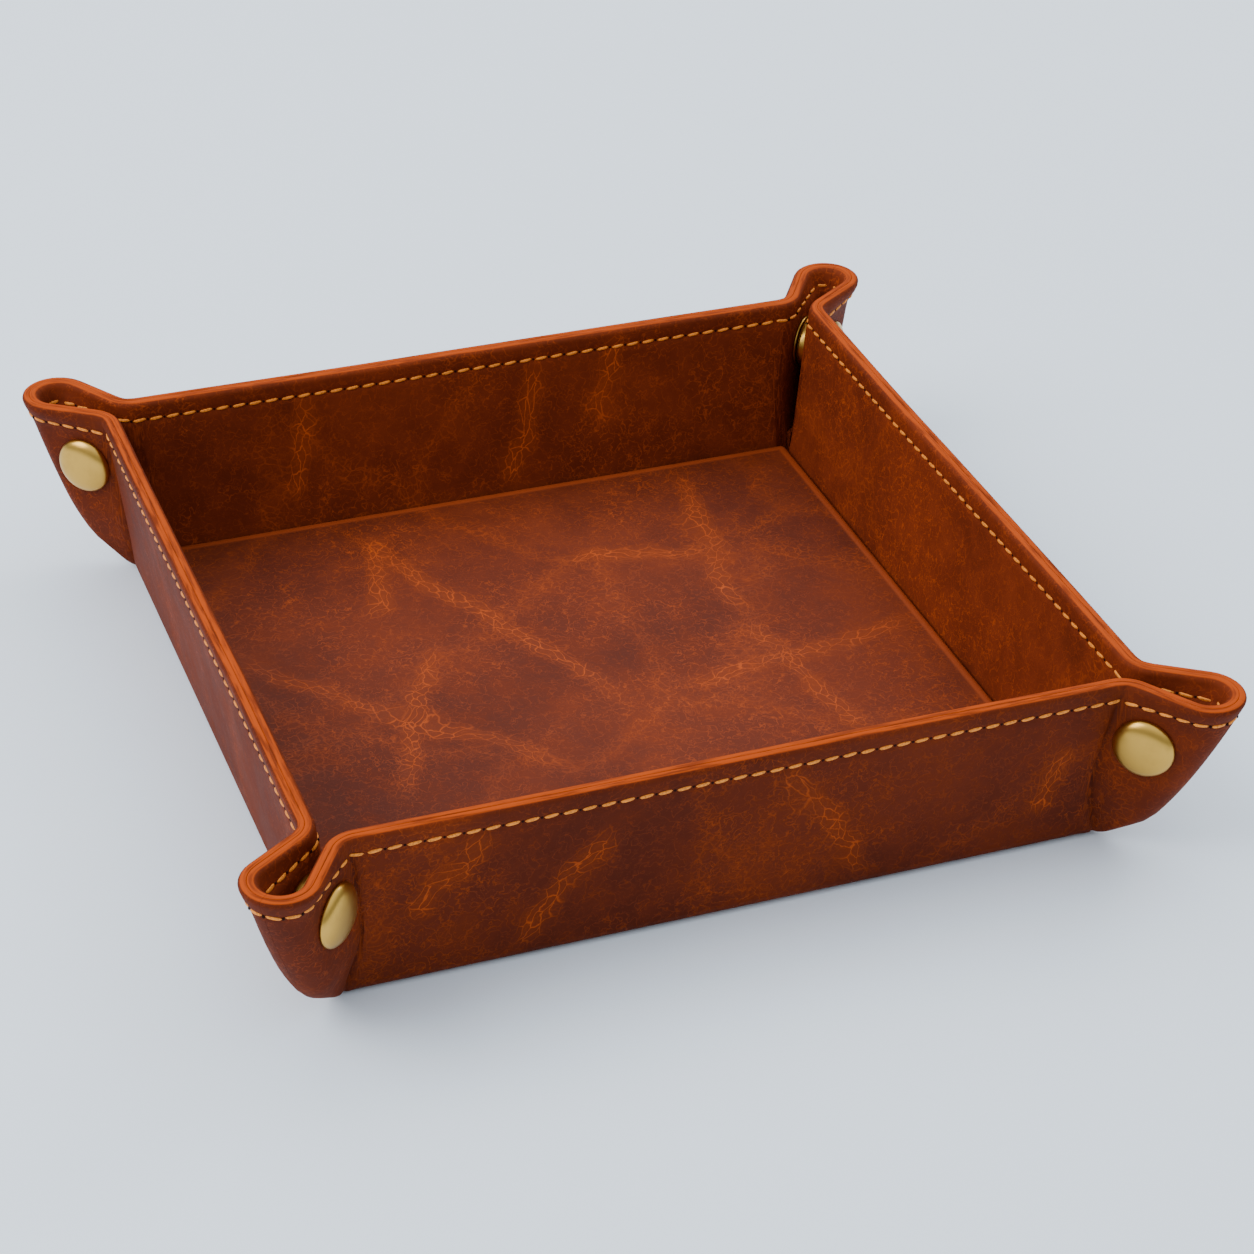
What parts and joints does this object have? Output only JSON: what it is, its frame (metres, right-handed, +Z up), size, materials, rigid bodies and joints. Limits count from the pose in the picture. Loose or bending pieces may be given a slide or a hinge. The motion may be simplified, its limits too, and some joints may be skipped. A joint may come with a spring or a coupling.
{
  "type": "valet tray",
  "caption": "Square valet tray of cognac brown leather with leaning stitched walls and corners pinched into looped ears by domed brass snaps",
  "frame": {"origin": "middle of the base, on the table", "axes": "X to the tray's right, Y to its back, Z up out of the open top"},
  "size_m": [0.2302, 0.2302, 0.046],
  "materials": {
    "outer_leather": "waxed pull-up",
    "lining_leather": "waxed pull-up",
    "floor_leather": "waxed pull-up",
    "board": "plain",
    "antique_brass": "antiqued"
  },
  "bodies": {
    "base": {"outer_base": "outer_leather", "lining_base": "lining_leather", "floor_board": "board", "floor_cover": "floor_leather"},
    "wall_right": {"outer_wall_right": "outer_leather", "lining_wall_right": "lining_leather"},
    "wall_back": {"outer_wall_back": "outer_leather", "lining_wall_back": "lining_leather"},
    "wall_left": {"outer_wall_left": "outer_leather", "lining_wall_left": "lining_leather"},
    "wall_front": {"outer_wall_front": "outer_leather", "lining_wall_front": "lining_leather"},
    "ear_right_back": {"outer_ear_right_back": "outer_leather", "lining_ear_right_back": "lining_leather", "socket_cap_right_back": "antique_brass", "snap_socket_right_back": "antique_brass"},
    "ear_back_right": {"outer_ear_back_right": "outer_leather", "lining_ear_back_right": "lining_leather", "stud_cap_right_back": "antique_brass", "snap_stud_right_back": "antique_brass"},
    "ear_back_left": {"outer_ear_back_left": "outer_leather", "lining_ear_back_left": "lining_leather", "socket_cap_back_left": "antique_brass", "snap_socket_back_left": "antique_brass"},
    "ear_left_back": {"outer_ear_left_back": "outer_leather", "lining_ear_left_back": "lining_leather", "stud_cap_back_left": "antique_brass", "snap_stud_back_left": "antique_brass"},
    "ear_left_front": {"outer_ear_left_front": "outer_leather", "lining_ear_left_front": "lining_leather", "socket_cap_left_front": "antique_brass", "snap_socket_left_front": "antique_brass"},
    "ear_front_left": {"outer_ear_front_left": "outer_leather", "lining_ear_front_left": "lining_leather", "stud_cap_left_front": "antique_brass", "snap_stud_left_front": "antique_brass"},
    "ear_front_right": {"outer_ear_front_right": "outer_leather", "lining_ear_front_right": "lining_leather", "socket_cap_front_right": "antique_brass", "snap_socket_front_right": "antique_brass"},
    "ear_right_front": {"outer_ear_right_front": "outer_leather", "lining_ear_right_front": "lining_leather", "stud_cap_front_right": "antique_brass", "snap_stud_front_right": "antique_brass"}
  },
  "joints": [
    {"name": "wall_right_splay", "type": "hinge", "parent": "base", "child": "wall_right", "pos_m": [0.0925, 0, 0], "axis": [0, 1, 0], "range_deg": [0, 15]},
    {"name": "wall_back_splay", "type": "hinge", "parent": "base", "child": "wall_back", "pos_m": [0, 0.0925, 0], "axis": [-1, 0, 0], "range_deg": [0, 15]},
    {"name": "wall_left_splay", "type": "hinge", "parent": "base", "child": "wall_left", "pos_m": [-0.0925, 0, 0], "axis": [0, -1, 0], "range_deg": [0, 15]},
    {"name": "wall_front_splay", "type": "hinge", "parent": "base", "child": "wall_front", "pos_m": [0, -0.0925, 0], "axis": [1, 0, 0], "range_deg": [0, 15]},
    {"name": "ear_right_back_bend", "type": "hinge", "parent": "wall_right", "child": "ear_right_back", "pos_m": [0.08618, 0.08606, 0.023], "axis": [-0.0608, -0.648, 0.7592], "range_deg": [0, 11.2]},
    {"name": "ear_back_right_bend", "type": "hinge", "parent": "wall_back", "child": "ear_back_right", "pos_m": [0.08606, 0.08618, 0.023], "axis": [0.648, 0.0608, -0.7592], "range_deg": [0, 11.2]},
    {"name": "ear_back_left_bend", "type": "hinge", "parent": "wall_back", "child": "ear_back_left", "pos_m": [-0.08606, 0.08618, 0.023], "axis": [0.648, -0.0608, 0.7592], "range_deg": [0, 11.2]},
    {"name": "ear_left_back_bend", "type": "hinge", "parent": "wall_left", "child": "ear_left_back", "pos_m": [-0.08618, 0.08606, 0.023], "axis": [-0.0608, 0.648, -0.7592], "range_deg": [0, 11.2]},
    {"name": "ear_left_front_bend", "type": "hinge", "parent": "wall_left", "child": "ear_left_front", "pos_m": [-0.08618, -0.08606, 0.023], "axis": [0.0608, 0.648, 0.7592], "range_deg": [0, 11.2]},
    {"name": "ear_front_left_bend", "type": "hinge", "parent": "wall_front", "child": "ear_front_left", "pos_m": [-0.08606, -0.08618, 0.023], "axis": [-0.648, -0.0608, -0.7592], "range_deg": [0, 11.2]},
    {"name": "ear_front_right_bend", "type": "hinge", "parent": "wall_front", "child": "ear_front_right", "pos_m": [0.08606, -0.08618, 0.023], "axis": [-0.648, 0.0608, 0.7592], "range_deg": [0, 11.2]},
    {"name": "ear_right_front_bend", "type": "hinge", "parent": "wall_right", "child": "ear_right_front", "pos_m": [0.08618, -0.08606, 0.023], "axis": [0.0608, -0.648, -0.7592], "range_deg": [0, 11.2]}
  ],
  "couplings": [
    {"joint": "wall_right_splay", "follows": "wall_front_splay", "ratio": 1},
    {"joint": "wall_back_splay", "follows": "wall_front_splay", "ratio": 1},
    {"joint": "wall_left_splay", "follows": "wall_front_splay", "ratio": 1},
    {"joint": "ear_right_back_bend", "follows": "wall_front_splay", "ratio": 0.744},
    {"joint": "ear_back_right_bend", "follows": "wall_front_splay", "ratio": 0.744},
    {"joint": "ear_back_left_bend", "follows": "wall_front_splay", "ratio": 0.744},
    {"joint": "ear_left_back_bend", "follows": "wall_front_splay", "ratio": 0.744},
    {"joint": "ear_left_front_bend", "follows": "wall_front_splay", "ratio": 0.744},
    {"joint": "ear_front_left_bend", "follows": "wall_front_splay", "ratio": 0.744},
    {"joint": "ear_front_right_bend", "follows": "wall_front_splay", "ratio": 0.744},
    {"joint": "ear_right_front_bend", "follows": "wall_front_splay", "ratio": 0.744}
  ]
}
